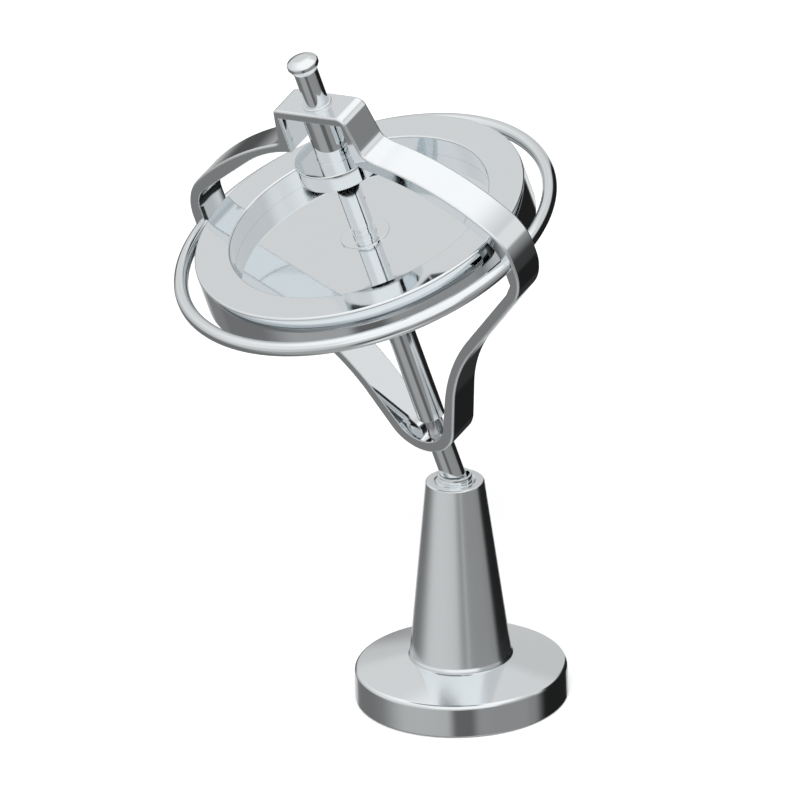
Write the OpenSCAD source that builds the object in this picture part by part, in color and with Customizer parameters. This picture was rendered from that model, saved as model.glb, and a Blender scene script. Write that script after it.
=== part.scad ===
// Demonstration gyroscope leaning on its pivot stand.
// Millimetres, +Z up, origin at the middle of the underside of the base disc.
// The gyro leans towards -X. Its own frame has x across the frame band,
// y through the band's width and z along the spin axis, with its origin
// at the centre of the pivot ball.

/* [Stand] */
// Radius of the base disc
base_r = 17.45; // [14:0.05:20]
// Height of the base disc at its outer edge
base_edge_h = 5.4; // [4:0.1:7]
// Height of the base disc under the column
base_mid_h = 7.35; // [6:0.05:9]
// Rounding of the base disc's upper edge
base_round = 0.75; // [0.3:0.05:1.2]
// Radius of the column's foot
foot_r = 8.62; // [7:0.01:9.5]
// Radius of the column just above the foot
column_low_r = 8.33; // [7:0.01:9]
// Radius of the column just under its upper edge
column_top_r = 4.87; // [4.4:0.01:5.5]
// Height of the column's top face
column_top = 38.4; // [34:0.1:42]
// Height of the retaining collar's rim
rim_top = 39.4; // [35:0.1:43]

/* [Pose] */
// Height of the pivot ball's centre
pivot_z = 38.6; // [34:0.1:42]
// Lean of the spin axis from the vertical, in degrees
lean = 17.37; // [10:0.01:20]
// Turn of the frame band about the spin axis, in degrees
band_turn = -63.2; // [-180:0.1:180]

/* [Pivot] */
// Radius of the pivot ball
ball_r = 1.3; // [1:0.05:1.4]
// Radius of the neck under the pivot ball
neck_r = 0.62; // [0.5:0.01:0.7]
// Radius of the pivot pin
pin_r = 2.03; // [1.9:0.01:2.1]
// Length of the pivot pin that hangs below the ball's centre
pin_drop = 0.9; // [0.8:0.05:1]

/* [Frame] */
// Width of the frame band
band_w = 6.5; // [5:0.1:8]
// Radius of the guard ring's centre line
ring_r = 31.64; // [30:0.01:33]
// Radius of the guard ring's wire
wire_r = 1.22; // [1:0.01:1.4]
// Height of the guard ring's plane above the ball's centre
ring_z = 49.8; // [48:0.1:52]
// Height of the frame band's top face above the ball's centre
band_top = 76.45; // [75:0.05:79]
// Radius of the bearing housing's flange
flange_r = 7.05; // [6:0.05:7.6]
// Radius of the bearing housing's boss
boss_r = 3.2; // [2.8:0.05:4]

/* [Rotor] */
// Outer radius of the rotor
rotor_r = 28.3; // [26:0.1:29]
// Thickness of the rotor's rim
rim_h = 7.3; // [6:0.1:9]
// Inner radius of the rotor's rim
rim_in_r = 22.2; // [20:0.1:24]
// Height of the web's upper face above the ball's centre
web_top = 49.95; // [49:0.05:52]
// Thickness of the web
web_h = 1.6; // [1:0.1:2.4]
// Radius of the hub's flange
hub_r = 4.2; // [3.6:0.1:5]
// Radius of the axle above the web
axle_r = 2.02; // [1.8:0.01:2.2]
// Radius of the sleeve below the web
sleeve_r = 2.3; // [2.1:0.01:2.6]

/* [Knob] */
// Radius of the knob's head
knob_r = 2.6; // [2.3:0.05:3.2]
// Height of the knob's crown above the ball's centre
knob_top = 85.75; // [85:0.05:88]

/* [Hidden] */
$fn = 96;
rim_low = ring_z - rim_h / 2;
rim_high = ring_z + rim_h / 2;
web_low = web_top - web_h;
// Radius inside the rim where the leaning pin comes to rest on it
rim_bore = (rim_top - pivot_z) * tan(lean) + pin_r / cos(lean) + 0.012;
collar_r = rim_bore + 0.33;
collar_low = 36.4;
dish_z = pivot_z - 1.6;
plate_low = band_top - 1.6;
steel = [0.80, 0.82, 0.83];
dark_steel = [0.62, 0.64, 0.66];
bronze = [0.72, 0.53, 0.30];

// Points of an arc about (cx, cy) from angle a to angle b, in n steps
function arc(cx, cy, r, a, b, n) =
    [for (i = [0:n]) [cx + r * cos(a + (b - a) * i / n),
                      cy + r * sin(a + (b - a) * i / n)]];
// The same points mirrored across the axis, in reverse order
function flip(pts) = [for (i = [len(pts) - 1:-1:0]) [-pts[i][0], pts[i][1]]];

// Places a piece of the gyro in its resting, leaning pose
module gyro_pose() {
    translate([0, 0, pivot_z]) rotate([0, -lean, 0])
        rotate([0, 0, band_turn]) children();
}

// Plain round bar from height a to height b
module bar(r, a, b) {
    translate([0, 0, a]) cylinder(r = r, h = b - a);
}

// Round ring with inner radius ri and outer radius ro
module tube(ri, ro, a, b) {
    difference() {
        bar(ro, a, b);
        bar(ri, a - 1, b + 1);
    }
}

module base_disc() {
    color(steel) difference() {
        rotate_extrude() polygon(concat(
            [[0, 0], [base_r - 0.2, 0], [base_r, 0.2]],
            arc(base_r - base_round, base_edge_h - base_round, base_round,
                0, 76, 6),
            [[foot_r + 0.02, base_mid_h], [0, base_mid_h]]));
        // Counterbore, screw hole and the column's socket
        bar(4.2, -1, 3.2);
        bar(2.2, 3, 4.5);
        bar(4.03, 4, 9);
    }
}

module column() {
    slope = (column_low_r - column_top_r) / (column_top - 0.6 - 8);
    color(steel) difference() {
        rotate_extrude() polygon(concat(
            [[0, 4.05], [4, 4.05], [4, base_mid_h], [foot_r, base_mid_h],
             [foot_r, base_mid_h + 0.12], [column_low_r + 0.14, base_mid_h + 0.3],
             [column_low_r, 8]],
            arc(column_top_r - 0.6, column_top - 0.6, 0.6,
                atan(slope), 90, 6),
            [[0, column_top]]));
        // Tapped hole for the screw
        bar(2.02, 3, 18);
        // Bore for the ball, the bush and the swivel's flange
        bar(1.08, 24.9, 28);
        bar(2.45, 27.3, collar_low + 0.5);
        // Threaded seat of the retaining collar with a chamfered mouth
        bar(3.27, collar_low, column_top + 1);
        translate([0, 0, column_top - 0.2])
            cylinder(r1 = 3.27, r2 = 3.67, h = 0.4);
    }
}

module column_screw() {
    color(dark_steel) difference() {
        union() {
            bar(3.5, 0.5, 2.7);
            bar(2, 2.6, 16);
        }
        translate([0, 0, 0.4]) cylinder(r = 1.73, h = 1.5, $fn = 6);
    }
}

module screw_washer() {
    color(dark_steel) tube(2.1, 3.9, 2.7, 3.2);
}

module swivel_bush() {
    color(bronze) tube(1.24, 2.44, 27.3, 35.3);
}

module thrust_ball() {
    color(steel) translate([0, 0, 25.92]) sphere(r = 1);
}

module retaining_collar() {
    color(steel) difference() {
        union() {
            bar(3.24, collar_low, column_top - 0.12);
            translate([0, 0, column_top - 0.121])
                cylinder(r1 = 3.24, r2 = 3.12, h = 0.121);
            bar(collar_r, collar_low, rim_top);
        }
        // Room for the pin's end to swing round the ball
        intersection() {
            translate([0, 0, pivot_z]) sphere(r = 2.36);
            bar(4, dish_z, pivot_z);
        }
        bar(rim_bore, pivot_z - 0.3, rim_top + 1);
        bar(1, collar_low - 1, pivot_z);
    }
}

module swivel_stud() {
    color(steel) {
        bar(0.96, 26.95, dish_z);
        bar(1.2, 27.6, 35.5);
        bar(2.3, 35.35, 36.35);
        bar(neck_r, dish_z - 0.5, pivot_z - 0.9);
        translate([0, 0, pivot_z]) sphere(r = ball_r);
    }
}

module ball_liner() {
    color(bronze) gyro_pose() difference() {
        bar(1.62, -0.55, 1.9);
        sphere(r = ball_r + 0.03);
    }
}

module pivot_pin() {
    color(steel) gyro_pose() difference() {
        union() {
            bar(pin_r, -pin_drop, 8.35);
            bar(1.3, 8.3, 9.9);
        }
        bar(1.66, -2, 1.95);
        bar(0.92, 4.4, 11);
    }
}

module liner_ring() {
    color(steel) gyro_pose() difference() {
        bar(1.65, -pin_drop, -0.58);
        translate([0, 0, -pin_drop - 0.01])
            cylinder(r1 = 0.99, r2 = 1.22, h = 0.34);
        // Slot that lets the ring spring over the neck
        translate([0, -0.66, -1.2]) cube([3, 1.32, 1]);
    }
}

// Right half of the band's outer outline, from the bottom to the shoulder
outer_half = concat(
    arc(0, 14.8, 6.8, -90, -21, 9),
    arc(43.82, 1.66, 38.75, 159, 132, 8),
    arc(24.3, 48.68, 9, -48, 0, 9),
    arc(24.3, 51.89, 9, 0, 45.7, 9),
    arc(4.04, 31.14, 38, 46.5, 82.4, 12),
    [[8.75, 69.0], [8.57, 69.3], [8.5, 69.7]]);
// Right half of the opening under the house, from the bottom up
inner_half = concat(
    arc(0, 14.9, 4.985, -90, -21, 8),
    arc(44.24, 2.59, 40.5, 158, 131.4, 8),
    [[22.7, 37.75], [25.6, 41.4], [30.3, 45.7], [30.3, 52.4]],
    arc(21.2, 50.4, 9.7, 18, 48, 5),
    arc(5.4, 40.2, 27.4, 42, 86, 10),
    [[6.45, 67.75]]);

module frame_band() {
    color(steel) gyro_pose() difference() {
        rotate([90, 0, 0]) linear_extrude(height = band_w, center = true)
            difference() {
                polygon(concat(outer_half,
                    arc(5.79, band_top - 1.8, 1.8, 11.8, 90, 7),
                    arc(-6.84, band_top - 0.5, 0.5, 90, 168.2, 3),
                    flip(outer_half)));
                polygon(concat(inner_half, [[6.45, plate_low], [-6.45, plate_low]],
                    flip(inner_half)));
            }
        // Seats and holes for the pins
        bar(pin_r + 0.02, 6, 8.35);
        bar(1.31, 7, 11);
        bar(1.56, 9.9, 12);
        bar(1.52, plate_low - 1, band_top + 1);
    }
}

// Guard ring, cut off where it meets the band
module guard_ring() {
    color(steel) gyro_pose() difference() {
        translate([0, 0, ring_z]) rotate_extrude()
            translate([ring_r, 0]) circle(r = wire_r);
        children();
    }
}

module guard_ring_front() {
    guard_ring() translate([-50, -band_w / 2, 20]) cube([100, 60, 60]);
}

module guard_ring_back() {
    guard_ring() translate([-50, band_w / 2 - 60, 20]) cube([100, 60, 60]);
}

module lower_pivot() {
    color(steel) gyro_pose() {
        bar(0.9, 4.6, 10);
        bar(1.5, 9.9, 12.85);
        bar(1, 12.8, 13.1);
        translate([0, 0, 13.1]) cylinder(r1 = 1, r2 = 0.12, h = 1.58);
    }
}

module bearing_housing() {
    color(steel) gyro_pose() difference() {
        union() {
            rotate_extrude() polygon([[0, 63.4], [flange_r - 0.2, 63.4],
                [flange_r, 63.6], [flange_r, 66.3], [flange_r - 0.2, 66.5],
                [0, 66.5]]);
            bar(boss_r, 66, plate_low);
        }
        bar(2.6, 62, 68.9);
        bar(1.53, 68, 76);
    }
}

module bearing_bush() {
    color(bronze) gyro_pose() tube(axle_r + 0.04, 2.59, 63.7, 68.8);
}

module thrust_button() {
    color(steel) gyro_pose() {
        bar(1.5, 69.75, 70.85);
        translate([0, 0, 69.55]) cylinder(r1 = 0.6, r2 = 1.5, h = 0.2);
    }
}

module pin_collar() {
    color(steel) gyro_pose() difference() {
        rotate_extrude() polygon([[0, band_top], [2.5, band_top],
            [2.5, band_top + 0.25], [2.3, band_top + 0.45],
            [0, band_top + 0.45]]);
        bar(pin_r + 0.01, 70, 80);
    }
}

module top_pin() {
    color(steel) gyro_pose() {
        bar(1.5, 70.85, band_top + 0.5);
        bar(pin_r, band_top, 83.4);
        bar(1.1, 83.3, 84.7);
    }
}

module top_knob() {
    color(steel) gyro_pose() difference() {
        rotate_extrude() polygon(concat(
            [[0, 83.4], [2.15, 83.4], [knob_r, 84.15]],
            arc(knob_r - 0.45, knob_top - 0.78, 0.45, 0, 72, 4),
            [[1.1, knob_top - 0.09], [0, knob_top]]));
        bar(1.12, 82, 84.8);
    }
}

module rotor_rim() {
    color(steel) gyro_pose() rotate_extrude() polygon(concat(
        [[rim_in_r, rim_low + 0.3], [rim_in_r + 0.3, rim_low]],
        arc(rotor_r - 0.4, rim_low + 0.4, 0.4, -90, 0, 4),
        arc(rotor_r - 0.4, rim_high - 0.4, 0.4, 0, 90, 4),
        [[rim_in_r + 0.3, rim_high], [rim_in_r, rim_high - 0.3]]));
}

module rotor_web() {
    color(steel) gyro_pose() tube(3.02, rim_in_r - 0.01, web_low, web_top);
}

module rotor_hub() {
    color(steel) gyro_pose() difference() {
        union() {
            bar(3, web_low, web_top + 0.1);
            bar(hub_r, web_top, web_top + 0.25);
        }
        bar(axle_r + 0.005, 40, 60);
    }
}

module hub_nut() {
    color(steel) gyro_pose() difference() {
        translate([0, 0, web_low - 1.3]) cylinder(r = 3.9, h = 1.3, $fn = 6);
        bar(axle_r + 0.005, 40, 60);
    }
}

module axle() {
    color(steel) gyro_pose() difference() {
        union() {
            bar(axle_r, web_low - 1.3, 68.65);
            translate([0, 0, 68.65]) cylinder(r1 = 1.3, r2 = 0.4, h = 0.78);
            bar(1.6, 15.2, web_low - 1.2);
        }
        // Groove above the hub
        tube(1.75, 4, 50.8, 52.1);
        // Hole for the pull string
        translate([0, 0, 56.8]) rotate([0, 0, 44]) rotate([0, 90, 0])
            cylinder(r = 0.55, h = 10, center = true);
    }
}

module axle_sleeve() {
    color(steel) gyro_pose() tube(1.61, sleeve_r, 13.1, web_low - 1.3);
}

module axle_seat() {
    color(dark_steel) gyro_pose() difference() {
        bar(1.6, 13.2, 15.2);
        translate([0, 0, 13.1]) cylinder(r1 = 1.4, r2 = 0.14, h = 1.62);
    }
}

base_disc();
column();
column_screw();
screw_washer();
swivel_bush();
thrust_ball();
retaining_collar();
swivel_stud();
ball_liner();
pivot_pin();
liner_ring();
frame_band();
guard_ring_front();
guard_ring_back();
lower_pivot();
bearing_housing();
bearing_bush();
thrust_button();
pin_collar();
top_pin();
top_knob();
rotor_rim();
rotor_web();
rotor_hub();
hub_nut();
axle();
axle_sleeve();
axle_seat();
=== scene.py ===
"""A chrome demonstration gyroscope on its stand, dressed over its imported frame."""
import math

import bmesh  # noqa: E402
import bpy  # noqa: E402
from mathutils import Matrix, Vector  # noqa: E402


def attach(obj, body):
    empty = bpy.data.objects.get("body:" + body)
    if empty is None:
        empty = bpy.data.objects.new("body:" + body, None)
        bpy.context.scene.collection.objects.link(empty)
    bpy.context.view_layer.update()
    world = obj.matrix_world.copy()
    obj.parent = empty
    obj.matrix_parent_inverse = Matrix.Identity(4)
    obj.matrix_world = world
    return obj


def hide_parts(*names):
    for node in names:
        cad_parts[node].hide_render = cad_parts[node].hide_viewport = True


bl_info = {
    "name": "Gyroscope on stand",
    "version": (1, 0, 0),
    "blender": (4, 5, 0),
    "location": "View3D > Sidebar > Gyroscope",
    "description": "Builds a polished gyroscope that leans on its stand",
    "category": "Object",
}

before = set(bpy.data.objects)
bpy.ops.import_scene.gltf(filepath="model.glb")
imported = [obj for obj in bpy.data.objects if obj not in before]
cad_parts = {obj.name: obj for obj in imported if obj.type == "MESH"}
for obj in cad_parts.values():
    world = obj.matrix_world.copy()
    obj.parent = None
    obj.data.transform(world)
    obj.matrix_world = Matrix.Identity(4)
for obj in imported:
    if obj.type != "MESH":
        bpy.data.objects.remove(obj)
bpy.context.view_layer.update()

MM = 0.001
FULL_TURN = 2 * math.pi
TINY = 1e-7

# Steps round a small corner, round a bored hole, and along and round the wire
CORNER_STEPS = 7
BORE_STEPS = 72
WIRE_STEPS, WIRE_SIDES = 120, 40

# Size of the smears and of the fine grain in the metals, and the grain's depth
SMEAR_SCALE, GRAIN_SCALE = 90.0, 900.0
GRAIN_DEPTH = 0.05 * MM

# The band's worn edges: full size outside, a smaller share inside
EDGE_ROUND = 0.36 * MM
INNER_EDGE_SHARE = 0.4

# Half the width of the little house inside, and where its walls begin, both
# in millimetres
HOUSE_INSIDE = 6.45
HOUSE_FOOT = 67.95

# The pull-string hole: its height above the ball in metres, its radius in
# millimetres and its bearing
STRING_HOLE_HEIGHT = 56.8 * MM
STRING_HOLE_RADIUS = 0.55
STRING_HOLE_TURN = math.radians(44)


# ---------------------------------------------------------------- settings

class StandSettings(bpy.types.PropertyGroup):
    """Sizes of the base disc and the column."""

    base_radius: bpy.props.FloatProperty(
        name="Base radius", description="Radius of the base disc",
        default=17.45 * MM, unit="LENGTH")
    base_edge: bpy.props.FloatProperty(
        name="Base edge height", description="Height of the base disc's side",
        default=5.4 * MM, unit="LENGTH")
    base_middle: bpy.props.FloatProperty(
        name="Base middle height",
        description="Height of the base disc where the column stands on it",
        default=7.35 * MM, unit="LENGTH")
    foot_radius: bpy.props.FloatProperty(
        name="Foot radius", description="Radius of the column's foot",
        default=8.62 * MM, unit="LENGTH")
    column_low: bpy.props.FloatProperty(
        name="Column radius below", description="Radius just above the foot",
        default=8.33 * MM, unit="LENGTH")
    column_high: bpy.props.FloatProperty(
        name="Column radius above", description="Radius under the top edge",
        default=4.87 * MM, unit="LENGTH")
    column_top: bpy.props.FloatProperty(
        name="Column top", description="Height of the column's top face",
        default=38.5 * MM, unit="LENGTH")
    collar_radius: bpy.props.FloatProperty(
        name="Collar radius", description="Radius of the collar's raised neck",
        default=2.85 * MM, unit="LENGTH")
    collar_top: bpy.props.FloatProperty(
        name="Collar top", description="Height of the collar's rim",
        default=39.65 * MM, unit="LENGTH")


class GyroSettings(bpy.types.PropertyGroup):
    """Pose and sizes of the gyroscope above the ball pivot."""

    pivot_height: bpy.props.FloatProperty(
        name="Pivot height", description="Height of the pivot ball's centre",
        default=38.6 * MM, unit="LENGTH")
    lean: bpy.props.FloatProperty(
        name="Lean", description="Lean of the spin axis from the vertical",
        default=math.radians(17.37), unit="ROTATION")
    band_turn: bpy.props.FloatProperty(
        name="Band turn", description="Turn of the frame band about the axis",
        default=math.radians(-63.2), unit="ROTATION")
    band_width: bpy.props.FloatProperty(
        name="Band width", description="Width of the frame band",
        default=6.5 * MM, unit="LENGTH")
    ring_radius: bpy.props.FloatProperty(
        name="Ring radius", description="Radius of the guard ring's middle line",
        default=31.63 * MM, unit="LENGTH")
    wire_radius: bpy.props.FloatProperty(
        name="Wire radius", description="Radius of the guard ring's wire",
        default=1.22 * MM, unit="LENGTH")
    ring_height: bpy.props.FloatProperty(
        name="Ring height", description="Height of the guard ring above the ball",
        default=49.8 * MM, unit="LENGTH")
    band_top: bpy.props.FloatProperty(
        name="Band top", description="Height of the band's top above the ball",
        default=76.45 * MM, unit="LENGTH")
    plate: bpy.props.FloatProperty(
        name="Top plate", description="Thickness of the band over the house",
        default=1.6 * MM, unit="LENGTH")
    rotor_radius: bpy.props.FloatProperty(
        name="Rotor radius", description="Outer radius of the rotor",
        default=28.3 * MM, unit="LENGTH")
    rim_radius: bpy.props.FloatProperty(
        name="Rim inner radius", description="Inner radius of the rotor's rim",
        default=22.2 * MM, unit="LENGTH")
    flange_radius: bpy.props.FloatProperty(
        name="Flange radius", description="Radius of the bearing's flange",
        default=7.05 * MM, unit="LENGTH")
    pin_radius: bpy.props.FloatProperty(
        name="Pin radius", description="Radius of the pivot pin and the top pin",
        default=2.03 * MM, unit="LENGTH")


class FinishSettings(bpy.types.PropertyGroup):
    """Colours and gloss of the metals, and the colour of the floor."""

    chrome: bpy.props.FloatVectorProperty(
        name="Chrome", description="Colour of the polished plating",
        default=(0.815, 0.845, 0.86), size=3, subtype="COLOR", min=0, max=1)
    chrome_roughness: bpy.props.FloatProperty(
        name="Chrome roughness", description="Roughness of the plating",
        default=0.045, min=0, max=1, subtype="FACTOR")
    turned_roughness: bpy.props.FloatProperty(
        name="Turned roughness", description="Roughness of the column's plating",
        default=0.19, min=0, max=1, subtype="FACTOR")
    steel: bpy.props.FloatVectorProperty(
        name="Steel", description="Colour of the ground steel pieces",
        default=(0.56, 0.57, 0.58), size=3, subtype="COLOR", min=0, max=1)
    zinc: bpy.props.FloatVectorProperty(
        name="Zinc", description="Colour of the zinc-plated fasteners",
        default=(0.45, 0.46, 0.47), size=3, subtype="COLOR", min=0, max=1)
    bronze: bpy.props.FloatVectorProperty(
        name="Bronze", description="Colour of the sintered bushes",
        default=(0.50, 0.31, 0.14), size=3, subtype="COLOR", min=0, max=1)
    floor: bpy.props.FloatVectorProperty(
        name="Floor", description="Colour of the pale floor",
        default=(0.82, 0.82, 0.82), size=3, subtype="COLOR", min=0, max=1)


def stand():
    """The settings of the base disc and the column."""
    return bpy.context.scene.gyro_stand


def gyro():
    """The settings of the gyroscope's pose and sizes."""
    return bpy.context.scene.gyro_frame


def finish():
    """The settings of the colours and the gloss."""
    return bpy.context.scene.gyro_finish


def gyro_pose():
    """The matrix that sets a piece of the gyro in its leaning place."""
    g = gyro()
    return (Matrix.Translation((0, 0, g.pivot_height))
            @ Matrix.Rotation(-g.lean, 4, "Y")
            @ Matrix.Rotation(g.band_turn, 4, "Z"))


# ------------------------------------------------------------------ shapes

def rounded(corners):
    """Turns (x, y, radius) corners into points, with an arc at each radius."""
    points = []
    count = len(corners)
    for i, (x, y, radius) in enumerate(corners):
        here = Vector((x, y))
        if radius <= 0:
            points.append(here)
            continue
        before = Vector(corners[(i - 1) % count][:2]) - here
        after = Vector(corners[(i + 1) % count][:2]) - here
        before.normalize()
        after.normalize()
        half = before.angle(after) / 2
        reach = radius / math.tan(half)
        centre = here + (before + after).normalized() * radius / math.sin(half)
        start = here + before * reach - centre
        end = here + after * reach - centre
        turn = start.angle_signed(end)
        for k in range(CORNER_STEPS + 1):
            a = -turn * k / CORNER_STEPS
            points.append(centre + Vector((
                start.x * math.cos(a) - start.y * math.sin(a),
                start.x * math.sin(a) + start.y * math.cos(a))))
    return points


def arc(cx, cy, radius, start, end, step=3.0):
    """Points of an arc in degrees, about one for each step."""
    count = max(2, round(abs(end - start) / step))
    angles = [math.radians(start + (end - start) * k / count)
              for k in range(count + 1)]
    return [Vector((cx + radius * math.cos(a), cy + radius * math.sin(a)))
            for a in angles]


def line(*points):
    """Straight stretches through (x, y) points."""
    return [Vector(point) for point in points]


def flip(points):
    """The same outline on the left side, run through backwards."""
    return [Vector((-p.x, p.y)) for p in reversed(points)]


def new_piece(name, mesh_source, material, body, replaced=(), pose=None,
              sharp=35):
    """Makes an object of a bmesh, puts it in place and on its body."""
    if pose is not None:
        bmesh.ops.transform(mesh_source, matrix=pose, verts=mesh_source.verts)
    bmesh.ops.recalc_face_normals(mesh_source, faces=mesh_source.faces)
    for face in mesh_source.faces:
        face.smooth = True
    for edge in mesh_source.edges:
        if len(edge.link_faces) == 2:
            edge.smooth = edge.calc_face_angle(0) < math.radians(sharp)
    mesh = bpy.data.meshes.new(name)
    mesh_source.to_mesh(mesh)
    mesh_source.free()
    piece = bpy.data.objects.new(name, mesh)
    bpy.context.scene.collection.objects.link(piece)
    piece.data.materials.append(material)
    even = piece.modifiers.new("even_shading", "WEIGHTED_NORMAL")
    even.keep_sharp = True
    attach(piece, body)
    if replaced:
        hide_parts(*replaced)
    return piece


def turned(points, segments=160, closed=False):
    """A bmesh turned about the axis from (radius, height) in millimetres."""
    bm = bmesh.new()
    rings = []
    for point in points:
        radius, height = point[0] * MM, point[1] * MM
        if radius < TINY:
            rings.append([bm.verts.new((0, 0, height))])
            continue
        rings.append([bm.verts.new((radius * math.cos(FULL_TURN * k / segments),
                                    radius * math.sin(FULL_TURN * k / segments),
                                    height)) for k in range(segments)])
    pairs = list(zip(rings, rings[1:]))
    if closed:
        pairs.append((rings[-1], rings[0]))
    for low, high in pairs:
        for k in range(segments):
            n = (k + 1) % segments
            if len(low) == 1 and len(high) == 1:
                break
            if len(low) == 1:
                bm.faces.new((low[0], high[k], high[n]))
            elif len(high) == 1:
                bm.faces.new((low[k], low[n], high[0]))
            else:
                bm.faces.new((low[k], low[n], high[n], high[k]))
    return bm


def swept_ring(radius, wire, height, start, end):
    """A bmesh of round wire bent about the axis, between two angles."""
    bm = bmesh.new()
    rings = []
    round_wire = [(radius + wire * math.cos(FULL_TURN * k / WIRE_SIDES),
                   height + wire * math.sin(FULL_TURN * k / WIRE_SIDES))
                  for k in range(WIRE_SIDES)]
    for i in range(WIRE_STEPS + 1):
        a = start + (end - start) * i / WIRE_STEPS
        rings.append([bm.verts.new((reach * math.cos(a), reach * math.sin(a), z))
                      for reach, z in round_wire])
    for low, high in zip(rings, rings[1:]):
        for k in range(WIRE_SIDES):
            n = (k + 1) % WIRE_SIDES
            bm.faces.new((low[k], low[n], high[n], high[k]))
    bm.faces.new(rings[0])
    bm.faces.new(rings[-1])
    return bm


def cut_away(bm, cutters, place=None):
    """Takes (radius, low, high) cylinders in millimetres out of a bmesh.

    They stand on the axis, or where the matrix sets them.
    """
    mesh = bpy.data.meshes.new("work")
    bm.to_mesh(mesh)
    bm.free()
    work = bpy.data.objects.new("work", mesh)
    bpy.context.scene.collection.objects.link(work)
    tools = []
    for radius, low, high in cutters:
        tool_mesh = bpy.data.meshes.new("cutter")
        tool_bm = turned([(0, low), (radius, low), (radius, high), (0, high)],
                         BORE_STEPS)
        if place is not None:
            bmesh.ops.transform(tool_bm, matrix=place, verts=tool_bm.verts)
        bmesh.ops.recalc_face_normals(tool_bm, faces=tool_bm.faces)
        tool_bm.to_mesh(tool_mesh)
        tool_bm.free()
        tool = bpy.data.objects.new("cutter", tool_mesh)
        bpy.context.scene.collection.objects.link(tool)
        tools.append(tool)
        cut = work.modifiers.new("cut", "BOOLEAN")
        cut.operation = "DIFFERENCE"
        cut.solver = "EXACT"
        cut.object = tool
    graph = bpy.context.evaluated_depsgraph_get()
    result = bmesh.new()
    result.from_object(work, graph)
    for thing in (work, *tools):
        data = thing.data
        bpy.data.objects.remove(thing)
        bpy.data.meshes.remove(data)
    return result


# --------------------------------------------------------------- materials

def metal(name, colour, roughness, smear=0.02, grain=0.0, tint_spread=0.02):
    """A polished metal: faint smears in its gloss and a very fine grain."""
    material = bpy.data.materials.new(name)
    material.use_nodes = True
    nodes, links = material.node_tree.nodes, material.node_tree.links
    nodes.clear()
    out = nodes.new("ShaderNodeOutputMaterial")
    shader = nodes.new("ShaderNodeBsdfPrincipled")
    shader.inputs["Metallic"].default_value = 1.0
    links.new(shader.outputs[0], out.inputs[0])
    place = nodes.new("ShaderNodeTexCoord")

    smears = nodes.new("ShaderNodeTexNoise")
    smears.inputs["Scale"].default_value = SMEAR_SCALE
    smears.inputs["Detail"].default_value = 4.0
    smears.inputs["Roughness"].default_value = 0.6
    links.new(place.outputs["Object"], smears.inputs["Vector"])
    gloss = nodes.new("ShaderNodeMapRange")
    gloss.inputs["From Min"].default_value = 0.3
    gloss.inputs["From Max"].default_value = 0.7
    gloss.inputs["To Min"].default_value = max(0.0, roughness - smear / 2)
    gloss.inputs["To Max"].default_value = roughness + smear
    links.new(smears.outputs["Fac"], gloss.inputs["Value"])
    links.new(gloss.outputs[0], shader.inputs["Roughness"])

    tint = nodes.new("ShaderNodeMix")
    tint.data_type = "RGBA"
    darker = [c * (1 - tint_spread) for c in colour]
    lighter = [min(1, c * (1 + tint_spread / 2)) for c in colour]
    tint.inputs[6].default_value = (*darker, 1)
    tint.inputs[7].default_value = (*lighter, 1)
    links.new(smears.outputs["Fac"], tint.inputs[0])
    links.new(tint.outputs[2], shader.inputs["Base Color"])

    if grain:
        fine = nodes.new("ShaderNodeTexNoise")
        fine.inputs["Scale"].default_value = GRAIN_SCALE
        fine.inputs["Detail"].default_value = 2.0
        links.new(place.outputs["Object"], fine.inputs["Vector"])
        bump = nodes.new("ShaderNodeBump")
        bump.inputs["Strength"].default_value = grain
        bump.inputs["Distance"].default_value = GRAIN_DEPTH
        links.new(fine.outputs["Fac"], bump.inputs["Height"])
        links.new(bump.outputs[0], shader.inputs["Normal"])
    return material


def material_for(kind):
    """The named finish, made once."""
    if kind in bpy.data.materials:
        return bpy.data.materials[kind]
    f = finish()
    # Colour, roughness, smear, grain and spread of the tint
    finishes = {
        "mirror_chrome": (f.chrome, f.chrome_roughness),
        "turned_chrome": (f.chrome, f.turned_roughness),
        "pin_chrome": (f.chrome, 0.1),
        "worn_edge": (f.chrome, 0.34, 0.08, 0.1),
        "ground_steel": (f.steel, 0.22, 0.06, 0.15),
        "zinc_plate": (f.zinc, 0.32, 0.1, 0.3, 0.1),
        "sintered_bronze": (f.bronze, 0.42, 0.12, 0.6, 0.15),
    }
    if kind not in finishes:
        raise RuntimeError("no finish is named " + kind)
    return metal(kind, *finishes[kind])


# --------------------------------------------------------------- the stand

class GYRO_OT_base_disc(bpy.types.Operator):
    """Turns the heavy base disc with its rounded edge and shallow cone top"""

    bl_idname = "gyro.base_disc"
    bl_label = "Base disc"

    def execute(self, context):
        s = stand()
        r, edge, middle = s.base_radius / MM, s.base_edge / MM, s.base_middle / MM
        foot = s.foot_radius / MM
        shape = rounded([
            (2.2, 4.0, 0), (2.2, 3.2, 0), (4.2, 3.2, 0), (4.2, 0, 0.15),
            (r, 0, 0.2), (r, edge, 0.75), (foot + 0.02, middle, 0),
            (4.03, middle, 0), (4.03, 4.0, 0)])
        new_piece("base_disc_polished", turned(shape, 224, closed=True),
                  material_for("pin_chrome"), "stand", ["base_disc"])
        return {"FINISHED"}


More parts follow.
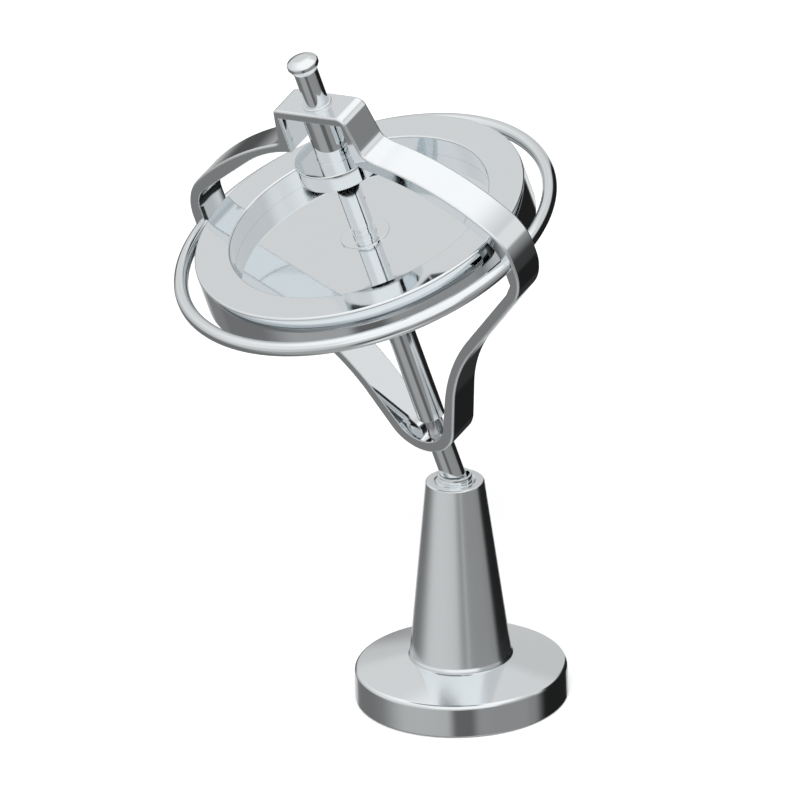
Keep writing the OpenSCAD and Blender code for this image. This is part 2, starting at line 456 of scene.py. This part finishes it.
class GYRO_OT_column(bpy.types.Operator):
    """Turns the tapered column with its small foot flare and rounded top"""

    bl_idname = "gyro.column"
    bl_label = "Column"

    def execute(self, context):
        s = stand()
        foot, low, high = s.foot_radius / MM, s.column_low / MM, s.column_high / MM
        top, middle = s.column_top / MM, s.base_middle / MM
        shape = rounded([
            (0, 24.9, 0), (1.08, 24.9, 0), (1.08, 27.3, 0), (2.45, 27.3, 0),
            (2.45, 36.4, 0), (3.27, 36.4, 0), (3.27, top - 0.2, 0),
            (3.47, top, 0), (high - 0.05, top, 0.3), (low, 8.0, 0.8),
            (foot, middle + 0.12, 0), (foot, middle, 0), (4, middle, 0),
            (4, 4.05, 0), (2.02, 4.05, 0), (2.02, 18, 0), (0, 18, 0)])
        new_piece("column_polished", turned(shape, 192),
                  material_for("turned_chrome"), "stand", ["column"])
        return {"FINISHED"}


class GYRO_OT_collar(bpy.types.Operator):
    """Turns the threaded collar whose raised neck holds the pivot"""

    bl_idname = "gyro.collar"
    bl_label = "Retaining collar"

    def execute(self, context):
        s = stand()
        neck, rim, top = s.collar_radius / MM, s.collar_top / MM, s.column_top / MM
        shape = rounded([
            (1.0, 36.4, 0), (3.24, 36.4, 0), (3.24, top, 0.15),
            (neck, top, 0), (neck, rim, 0.12), (2.48, rim, 0.05), (2.39, 39.4, 0),
            (2.39, 38.3, 0), (2.33, 38.25, 0), (2.25, 37.9, 0),
            (2.08, 37.5, 0), (1.9, 37.2, 0), (1.73, 37.0, 0), (1.0, 37.0, 0)])
        new_piece("retaining_collar_polished", turned(shape, 96, closed=True),
                  material_for("mirror_chrome"), "stand",
                  ["retaining_collar"])
        return {"FINISHED"}


# ---------------------------------------------------------------- the gyro

def band_outlines():
    """Outer and inner outline of the frame band, in millimetres.

    Each runs from the bottom up its right side, and comes down the left. The
    two upper arms are bowed a little differently, as the photograph shows.
    """
    top = gyro().band_top / MM
    ceiling = top - gyro().plate / MM

    # The bowl round the lower pivot, the hollow flank and the lug's shoulder
    low = (arc(0, 14.65, 6.88, -90, -23)
           + arc(36.9, 7.6, 30, 157, 132, 2)
           + arc(24.3, 48.68, 9, -48, 0))
    low_inside = (arc(0, 14.9, 4.985, -90, -21)
                  + arc(44.24, 2.59, 40.5, 158, 131.4, 1.5)
                  + line((29.4, 43.7), (31.0, 45.8)))

    # The lug's corner, the upper arm and the small fillet under the house
    left = (low + arc(23.43, 51.5, 9.87, 0, 52.4)
            + arc(-5.15, 14.4, 56.7, 53.4, 75.2, 1.2)
            + line((8.75, 69.5), (8.55, 69.9), (8.5, 70.3)))
    right = (low + arc(25.22, 50.5, 8.08, 0, 45)
             + arc(-1.65, 23.6, 46.1, 46.2, 74.2, 1.2)
             + line((9.8, 68.5), (9.05, 69.0), (8.65, 69.6), (8.5, 70.3)))
    left_inside = (low_inside + arc(26, 53.2, 5, 0, 62, 6)
                   + arc(5.17, 46.04, 22, 59, 84)
                   + line((HOUSE_INSIDE, HOUSE_FOOT)))
    right_inside = (low_inside + arc(25.22, 50.5, 5.78, 0, 45, 6)
                    + arc(-1.65, 23.6, 43.9, 46.2, 77, 2)
                    + line((7.4, 66.8), (6.7, 67.3), (HOUSE_INSIDE, HOUSE_FOOT)))

    # The house's top corners are softer on the right than on the left
    outline = (right + arc(5.79, top - 1.8, 1.8, 11.8, 90, 8)
               + arc(-6.6, top - 0.8, 0.8, 90, 168.2, 20) + flip(left)[:-1])
    opening = (right_inside
               + line((HOUSE_INSIDE, ceiling), (-HOUSE_INSIDE, ceiling))
               + flip(left_inside)[:-1])
    return outline, opening


class GYRO_OT_frame_band(bpy.types.Operator):
    """Bends the frame band with its house at the top and its ring lugs"""

    bl_idname = "gyro.frame_band"
    bl_label = "Frame band"

    def strip(self, half):
        """The band as a flat strip with square edges and its pin holes."""
        bm = bmesh.new()
        loops = [[bm.verts.new((p.x * MM, side, p.y * MM)) for p in points]
                 for points in band_outlines() for side in (-half, half)]
        for near, far in ((loops[0], loops[1]), (loops[2], loops[3])):
            for k in range(len(near)):
                n = (k + 1) % len(near)
                bm.faces.new((near[k], near[n], far[n], far[k]))
        for pair in ((loops[0], loops[2]), (loops[1], loops[3])):
            edges = [bm.edges.get((ring[k], ring[(k + 1) % len(ring)]))
                     for ring in pair for k in range(len(ring))]
            bmesh.ops.triangle_fill(bm, edges=edges, use_beauty=True)
        bmesh.ops.recalc_face_normals(bm, faces=bm.faces)
        r = gyro().pin_radius / MM
        return cut_away(bm, [(r + 0.02, 6, 8.35), (1.31, 7, 11), (1.56, 9.9, 12),
                             (1.52, 74, 78)])

    def mark_edges(self, bm, half):
        """Marks the edges along the band's two faces for rounding."""
        weight = bm.edges.layers.float.new("bevel_weight_edge")
        middle = Vector((0, 0, gyro().ring_height))
        for edge in bm.edges:
            on_face = all(abs(abs(v.co.y) - half) < TINY for v in edge.verts)
            sides = [face.normal for face in edge.link_faces
                     if abs(face.normal.y) < 0.5]
            if on_face and len(edge.link_faces) == 2 and len(sides) == 1:
                outward = sides[0].dot(edge.verts[0].co - middle) > 0
                edge[weight] = 1.0 if outward else INNER_EDGE_SHARE

    def execute(self, context):
        half = gyro().band_width / 2
        bm = self.strip(half)
        self.mark_edges(bm, half)
        piece = new_piece("frame_band_polished", bm, material_for("mirror_chrome"),
                          "gyro_frame", ["frame_band"], gyro_pose())
        piece.data.materials.append(material_for("worn_edge"))
        bevel = piece.modifiers.new("edge_round", "BEVEL")
        bevel.width = EDGE_ROUND
        bevel.segments = 4
        bevel.limit_method = "WEIGHT"
        bevel.use_clamp_overlap = False
        bevel.loop_slide = False
        bevel.material = 1
        # The rounding comes before the shading
        piece.modifiers.move(1, 0)
        return {"FINISHED"}


class GYRO_OT_guard_rings(bpy.types.Operator):
    """Bends the two half rings of round wire that guard the rotor"""

    bl_idname = "gyro.guard_rings"
    bl_label = "Guard rings"

    def execute(self, context):
        g = gyro()
        start = math.asin((g.band_width / 2 - 0.3 * MM) / g.ring_radius)
        for node, turn in (("guard_ring_front", math.pi), ("guard_ring_back", 0)):
            bm = swept_ring(g.ring_radius, g.wire_radius, g.ring_height,
                            turn + start, turn + math.pi - start)
            new_piece(node + "_polished", bm, material_for("mirror_chrome"),
                      "gyro_frame", [node], gyro_pose(), sharp=60)
        return {"FINISHED"}


class GYRO_OT_pins(bpy.types.Operator):
    """Turns the pivot pin, the lower pivot, the top pin, its ring and its knob"""

    bl_idname = "gyro.pins"
    bl_label = "Pins and knob"

    def execute(self, context):
        r, top = gyro().pin_radius / MM, gyro().band_top / MM
        chrome, steel = material_for("pin_chrome"), material_for("ground_steel")
        shapes = [
            ("pivot_pin", chrome, "chrome", [
                (1.66, -0.9, 0), (r, -0.9, 0.12), (r, 8.35, 0), (1.3, 8.35, 0),
                (1.3, 9.9, 0), (0.92, 9.9, 0), (0.92, 4.4, 0), (0, 4.4, 0),
                (0, 1.95, 0), (1.66, 1.95, 0)]),
            ("lower_pivot", steel, "bright_steel", [
                (0, 4.6, 0), (0.9, 4.6, 0), (0.9, 9.9, 0), (1.5, 9.9, 0),
                (1.5, 12.85, 0.15), (1, 12.85, 0), (1, 13.1, 0),
                (0.12, 14.68, 0), (0, 14.68, 0)]),
            ("top_pin", chrome, "chrome", [
                (0, 70.85, 0), (1.5, 70.85, 0), (1.5, top, 0), (r, top, 0),
                (r, 83.4, 0.1), (1.1, 83.4, 0), (1.1, 84.7, 0), (0, 84.7, 0)]),
            ("pin_collar", chrome, "chrome", [
                (r + 0.01, top, 0), (2.5, top, 0), (2.5, top + 0.45, 0.2),
                (r + 0.01, top + 0.45, 0)]),
            ("top_knob", chrome, "chrome", [
                (1.12, 83.4, 0), (2.12, 83.4, 0.06), (2.68, 84.4, 0.15),
                (2.68, 85.1, 0.45), (1.7, 85.68, 3.4), (0, 85.86, 0), (0, 84.8, 0),
                (1.12, 84.8, 0)]),
        ]
        for node, material, slot, corners in shapes:
            new_piece(node + "_polished",
                      turned(rounded(corners), 96, closed=corners[0][0] > 0),
                      material, "gyro_frame", [node], gyro_pose())
        return {"FINISHED"}


class GYRO_OT_bearing_housing(bpy.types.Operator):
    """Turns the bearing housing: a wide flange and the boss above it"""

    bl_idname = "gyro.bearing_housing"
    bl_label = "Bearing housing"

    def execute(self, context):
        f = gyro().flange_radius / MM
        ceiling = (gyro().band_top - gyro().plate) / MM
        shape = rounded([
            (2.6, 63.4, 0), (f, 63.4, 0.2), (f, 66.5, 0.2), (3.2, 66.5, 0.1),
            (3.2, ceiling, 0), (1.53, ceiling, 0), (1.53, 68.9, 0), (2.6, 68.9, 0)])
        new_piece("bearing_housing_polished", turned(shape, 144, closed=True),
                  material_for("mirror_chrome"), "gyro_frame",
                  ["bearing_housing"], gyro_pose())
        return {"FINISHED"}


class GYRO_OT_rotor(bpy.types.Operator):
    """Turns the rotor's rim, its thin web and the hub's flange"""

    bl_idname = "gyro.rotor"
    bl_label = "Rotor"

    def execute(self, context):
        g = gyro()
        outer, inner = g.rotor_radius / MM, g.rim_radius / MM
        chrome = material_for("mirror_chrome")
        shapes = [
            ("rotor_rim", 256, [
                (inner, 46.15, 0.3), (outer, 46.15, 0.4), (outer, 53.45, 0.4),
                (inner, 53.45, 0.3)]),
            ("rotor_web", 192, [
                (3.02, 48.35, 0), (inner - 0.01, 48.35, 0),
                (inner - 0.01, 49.95, 0), (3.02, 49.95, 0)]),
            ("rotor_hub", 96, [
                (2.025, 48.35, 0), (3, 48.35, 0), (3, 49.95, 0), (4.2, 49.95, 0),
                (4.2, 50.2, 0.1), (2.025, 50.2, 0.05)]),
        ]
        for node, segments, corners in shapes:
            new_piece(node + "_polished",
                      turned(rounded(corners), segments, closed=True),
                      chrome, "rotor", [node], gyro_pose())
        return {"FINISHED"}


class GYRO_OT_axle(bpy.types.Operator):
    """Turns the axle with its groove and string hole, and the sleeve below"""

    bl_idname = "gyro.axle"
    bl_label = "Axle and sleeve"

    def execute(self, context):
        chrome = material_for("mirror_chrome")
        axle = turned(rounded([
            (0, 15.2, 0), (1.6, 15.2, 0), (1.6, 47.05, 0), (2.02, 47.05, 0),
            (2.02, 50.8, 0.08), (1.75, 50.8, 0), (1.75, 52.1, 0),
            (2.02, 52.1, 0.08), (2.02, 68.65, 0), (1.3, 68.65, 0),
            (0.4, 69.43, 0), (0, 69.43, 0)]), 96)
        bmesh.ops.recalc_face_normals(axle, faces=axle.faces)
        across = (Matrix.Translation((0, 0, STRING_HOLE_HEIGHT))
                  @ Matrix.Rotation(STRING_HOLE_TURN, 4, "Z")
                  @ Matrix.Rotation(math.radians(90), 4, "Y"))
        axle = cut_away(axle, [(STRING_HOLE_RADIUS, -3, 3)], across)
        new_piece("axle_polished", axle, chrome, "rotor", ["axle"],
                  gyro_pose())
        sleeve = turned(rounded([
            (1.61, 13.1, 0), (2.3, 13.1, 0.15), (2.3, 47.05, 0.1),
            (1.61, 47.05, 0)]), 96, closed=True)
        new_piece("axle_sleeve_polished", sleeve, chrome, "rotor",
                  ["axle_sleeve"], gyro_pose())
        return {"FINISHED"}


class GYRO_OT_inner_parts(bpy.types.Operator):
    """Gives the hidden bushes, balls, seats and fasteners their finishes"""

    bl_idname = "gyro.inner_parts"
    bl_label = "Inner parts"

    finishes = {
        "column_screw": "zinc_plate", "screw_washer": "zinc_plate",
        "hub_nut": "zinc_plate", "axle_seat": "zinc_plate",
        "swivel_bush": "sintered_bronze", "bearing_bush": "sintered_bronze",
        "ball_liner": "sintered_bronze", "thrust_ball": "ground_steel",
        "swivel_stud": "ground_steel", "liner_ring": "ground_steel",
        "thrust_button": "ground_steel",
    }

    def execute(self, context):
        for node, kind in self.finishes.items():
            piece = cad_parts[node]
            material = material_for(kind)
            if not piece.material_slots:
                piece.data.materials.append(material)
            for slot in piece.material_slots:
                slot.material = material
        return {"FINISHED"}


# --------------------------------------------------------------- the stage

# The photograph's view: turned about the object, raised, and rolled a little
VIEW_AZIMUTH = math.radians(-26.02)
VIEW_ELEVATION = math.radians(24.51)
VIEW_ROLL = math.radians(1.88)
CAMERA_AWAY = 0.4
CAMERA_CLIP = (0.01, 10.0)

# The picture's size and scale, and where the middle of the base lies in it
PICTURE = 800
PIXELS_PER_MM = 6.1
BASE_AT = (462.0, 693.3)

# The floor lies just under the base. The camera sees it with a slight glow.
FLOOR_HALF = 3.0
FLOOR_DROP = 0.2 * MM
FLOOR_ROUGHNESS = 0.9
FLOOR_GLOW = 0.08
WHITE = (1, 1, 1, 1)

# Each lamp has its place, its power and its size. All point at the same spot.
LAMPS = (
    ("key_lamp", (-0.35, -0.45, 0.65), 5.0, 0.35),
    ("fill_lamp", (0.55, -0.25, 0.45), 2.5, 0.45),
)
LAMP_AIM = (0, 0, 0.06)

# The studio's tone from straight down to straight up, in degrees of height
ROOM_TONES = ((-90, 0.40), (-60, 0.38), (-45, 0.38), (-25, 0.43), (-8, 0.60),
              (8, 0.72), (28, 0.82), (40, 0.92), (52, 1.06), (65, 1.12),
              (90, 1.10))

# Light boxes and dark cards round the object. Each has its bearing, lowest and
# highest height, half its width, the blur of its sides and of its upper and
# lower edges, all in degrees, and its brightness. Bearing 0 is towards -Y.
STUDIO_CARDS = (
    ("back floor", -146, -80, -11, 40, 40, 10, 0.18),
    ("back left wall", -165, -11, 6, 32, 20, 8, 0.55),
    ("left wall", -80, -22, 12, 38, 60, 14, 0.65),
    ("left light", -85, 10, 40, 45, 25, 16, 0.88),
    ("front light", -22, 14, 58, 40, 18, 12, 1.06),
    ("front table", -4, -42, -2, 22, 20, 10, 0.30),
    ("front floor", 6, -85, -48, 24, 14, 12, 0.80),
    ("camera stand", -25, -46, -20, 13, 12, 6, 0.13),
    ("light gap", -8, -18, -2, 4, 5, 5, 0.44),
    ("grey front right", 32, -45, 2, 26, 12, 10, 0.29),
    ("mid front right", 36, 2, 30, 22, 12, 10, 0.45),
    ("upper right", 100, 34, 58, 55, 20, 10, 0.74),
    ("black flag right", 104, -50, 30, 42, 32, 16, 0.015),
    ("back right wall", 156, -31, 34, 22, 8, 8, 0.62),
    ("back right floor", 170, -60, -29, 24, 8, 6, 0.22),
    ("dark corner", 128, -52, -27, 16, 6, 6, 0.03),
    ("back right light", 143, -20, -1, 8, 6, 5, 1.05),
    ("dark back", 171, -14, 8, 14, 10, 16, 0.09),
    ("back wall", 174, 22, 46, 16, 10, 8, 0.75),
    ("strip light right", 65, 14, 44, 6, 5, 8, 0.85),
)


class GYRO_OT_stage(bpy.types.Operator):
    """Sets the camera, the white floor, the studio's tones and the lamps"""

    bl_idname = "gyro.stage"
    bl_label = "Stage"

    def camera(self, scene):
        """Sets the parallel view of the photograph."""
        az, el = VIEW_AZIMUTH, VIEW_ELEVATION
        toward = Vector((math.sin(az) * math.cos(el), -math.cos(az) * math.cos(el),
                         math.sin(el)))
        right = Vector((math.cos(az), math.sin(az), 0))
        down = right.cross(toward)
        across = right * math.cos(VIEW_ROLL) + down * math.sin(VIEW_ROLL)
        below = down * math.cos(VIEW_ROLL) - right * math.sin(VIEW_ROLL)
        aim = -(across * (BASE_AT[0] - PICTURE / 2)
                + below * (BASE_AT[1] - PICTURE / 2)) * MM / PIXELS_PER_MM
        data = bpy.data.cameras.new("photo_view")
        data.type = "ORTHO"
        data.ortho_scale = PICTURE / PIXELS_PER_MM * MM
        data.clip_start, data.clip_end = CAMERA_CLIP
        camera = bpy.data.objects.new("photo_view", data)
        turn = Matrix((across, -below, toward)).transposed()
        camera.matrix_world = (Matrix.Translation(aim + toward * CAMERA_AWAY)
                               @ turn.to_4x4())
        scene.collection.objects.link(camera)
        scene.camera = camera

    def floor(self):
        """Lays the pale floor, which polished metal doesn't mirror."""
        bm = bmesh.new()
        bmesh.ops.create_grid(bm, x_segments=8, y_segments=8, size=FLOOR_HALF)
        bmesh.ops.translate(bm, vec=(0, 0, -FLOOR_DROP), verts=bm.verts)
        mesh = bpy.data.meshes.new("floor")
        bm.to_mesh(mesh)
        bm.free()
        floor = bpy.data.objects.new("floor", mesh)
        bpy.context.scene.collection.objects.link(floor)
        material = bpy.data.materials.new("pale_floor")
        material.use_nodes = True
        nodes, links = material.node_tree.nodes, material.node_tree.links
        nodes.clear()
        out = nodes.new("ShaderNodeOutputMaterial")
        paper = nodes.new("ShaderNodeBsdfPrincipled")
        paper.inputs["Base Color"].default_value = (*finish().floor, 1)
        paper.inputs["Roughness"].default_value = FLOOR_ROUGHNESS
        paper.inputs["Specular IOR Level"].default_value = 0.0
        paper.inputs["Emission Color"].default_value = WHITE
        ray = nodes.new("ShaderNodeLightPath")
        glow = nodes.new("ShaderNodeMath")
        glow.operation = "MULTIPLY"
        glow.inputs[1].default_value = FLOOR_GLOW
        links.new(ray.outputs["Is Camera Ray"], glow.inputs[0])
        links.new(glow.outputs[0], paper.inputs["Emission Strength"])
        clear = nodes.new("ShaderNodeBsdfTransparent")
        mix = nodes.new("ShaderNodeMixShader")
        links.new(ray.outputs["Is Glossy Ray"], mix.inputs[0])
        links.new(paper.outputs[0], mix.inputs[1])
        links.new(clear.outputs[0], mix.inputs[2])
        links.new(mix.outputs[0], out.inputs[0])
        floor.data.materials.append(material)

    def studio(self, scene):
        """Sets a white background, and the room that lights the object."""
        world = bpy.data.worlds.new("studio")
        scene.world = world
        world.use_nodes = True
        nodes, links = world.node_tree.nodes, world.node_tree.links
        nodes.clear()
        out = nodes.new("ShaderNodeOutputWorld")
        seen = nodes.new("ShaderNodeBackground")
        seen.inputs[0].default_value = WHITE
        room = nodes.new("ShaderNodeBackground")
        ray = nodes.new("ShaderNodeLightPath")
        mix = nodes.new("ShaderNodeMixShader")
        links.new(ray.outputs["Is Camera Ray"], mix.inputs[0])
        links.new(room.outputs[0], mix.inputs[1])
        links.new(seen.outputs[0], mix.inputs[2])
        links.new(mix.outputs[0], out.inputs[0])
        place = nodes.new("ShaderNodeTexCoord")
        split = nodes.new("ShaderNodeSeparateXYZ")
        links.new(place.outputs["Generated"], split.inputs[0])

        def maths(operation, *values):
            node = nodes.new("ShaderNodeMath")
            node.operation = operation
            for socket, value in zip(node.inputs, values):
                if isinstance(value, bpy.types.NodeSocket):
                    links.new(value, socket)
                else:
                    socket.default_value = value
            return node.outputs[0]

        def fade(value, start, end, rising):
            node = nodes.new("ShaderNodeMapRange")
            node.interpolation_type = "SMOOTHSTEP"
            links.new(value, node.inputs["Value"])
            node.inputs["From Min"].default_value = start
            node.inputs["From Max"].default_value = end
            node.inputs["To Min"].default_value = 0.0 if rising else 1.0
            node.inputs["To Max"].default_value = 1.0 if rising else 0.0
            return node.outputs[0]

        height = maths("MULTIPLY", maths("ARCSINE", split.outputs[2]),
                       math.degrees(1))
        bearing = maths("MULTIPLY", maths("ARCTAN2", split.outputs[0], maths(
            "MULTIPLY", split.outputs[1], -1.0)), math.degrees(1))

        ramp = nodes.new("ShaderNodeValToRGB")
        raised = maths("ADD", height, 90.0)
        links.new(maths("DIVIDE", raised, 180.0), ramp.inputs[0])
        stops = ramp.color_ramp.elements
        while len(stops) < len(ROOM_TONES):
            stops.new(0.5)
        for stop, (level, tone) in zip(stops, ROOM_TONES):
            stop.position = (level + 90) / 180
            stop.color = (tone, tone, tone, 1)
        tone = ramp.outputs[0]

        for card, centre, low, high, half, side, edge, brightness in STUDIO_CARDS:
            away = maths("ABSOLUTE", maths(
                "WRAP", maths("SUBTRACT", bearing, centre), 180.0, -180.0))
            sides = fade(away, half - side / 2, half + side / 2, False)
            above = fade(height, low - edge / 2, low + edge / 2, True)
            below = fade(height, high - edge / 2, high + edge / 2, False)
            mask = maths("MULTIPLY", sides, maths("MULTIPLY", above, below))
            blend = nodes.new("ShaderNodeMix")
            blend.data_type = "RGBA"
            blend.label = card
            links.new(mask, blend.inputs[0])
            links.new(tone, blend.inputs[6])
            blend.inputs[7].default_value = (brightness, brightness, brightness, 1)
            tone = blend.outputs[2]
        links.new(tone, room.inputs[0])

    def lamps(self, scene):
        """Sets two soft lamps for the floor. The metals don't mirror them."""
        for name, place, power, size in LAMPS:
            data = bpy.data.lights.new(name, "AREA")
            data.energy = power
            data.size = size
            lamp = bpy.data.objects.new(name, data)
            lamp.location = place
            lamp.rotation_mode = "QUATERNION"
            aim = Vector(LAMP_AIM) - Vector(place)
            lamp.rotation_quaternion = aim.to_track_quat("-Z", "Y")
            lamp.visible_glossy = False
            scene.collection.objects.link(lamp)

    def execute(self, context):
        scene = context.scene
        scene.view_settings.view_transform = "Standard"
        self.camera(scene)
        self.floor()
        self.studio(scene)
        self.lamps(scene)
        return {"FINISHED"}


# ------------------------------------------------------------------- panel

STEPS = ("stage", "base_disc", "column", "collar", "frame_band", "guard_rings",
         "pins", "bearing_housing", "rotor", "axle", "inner_parts")


class GYRO_PT_panel(bpy.types.Panel):
    """Lists the gyroscope's sizes and building steps"""

    bl_idname = "GYRO_PT_panel"
    bl_label = "Gyroscope on stand"
    bl_space_type = "VIEW_3D"
    bl_region_type = "UI"
    bl_category = "Gyroscope"

    def draw(self, context):
        layout = self.layout
        for title, group in (("Stand", stand()), ("Gyroscope", gyro()),
                             ("Finish", finish())):
            box = layout.box()
            box.label(text=title)
            for key in group.bl_rna.properties.keys():
                if key not in ("rna_type", "name"):
                    box.prop(group, key)
        column = layout.column(align=True)
        for step in STEPS:
            column.operator("gyro." + step)


CLASSES = (StandSettings, GyroSettings, FinishSettings, GYRO_OT_stage,
           GYRO_OT_base_disc, GYRO_OT_column, GYRO_OT_collar, GYRO_OT_frame_band,
           GYRO_OT_guard_rings, GYRO_OT_pins, GYRO_OT_bearing_housing,
           GYRO_OT_rotor, GYRO_OT_axle, GYRO_OT_inner_parts, GYRO_PT_panel)


def register():
    for cls in CLASSES:
        bpy.utils.register_class(cls)
    bpy.types.Scene.gyro_stand = bpy.props.PointerProperty(type=StandSettings)
    bpy.types.Scene.gyro_frame = bpy.props.PointerProperty(type=GyroSettings)
    bpy.types.Scene.gyro_finish = bpy.props.PointerProperty(type=FinishSettings)


def unregister():
    del bpy.types.Scene.gyro_stand, bpy.types.Scene.gyro_frame
    del bpy.types.Scene.gyro_finish
    for cls in reversed(CLASSES):
        bpy.utils.unregister_class(cls)


def main():
    register()
    for step in STEPS:
        getattr(bpy.ops.gyro, step)()


if __name__ == "__main__":
    main()
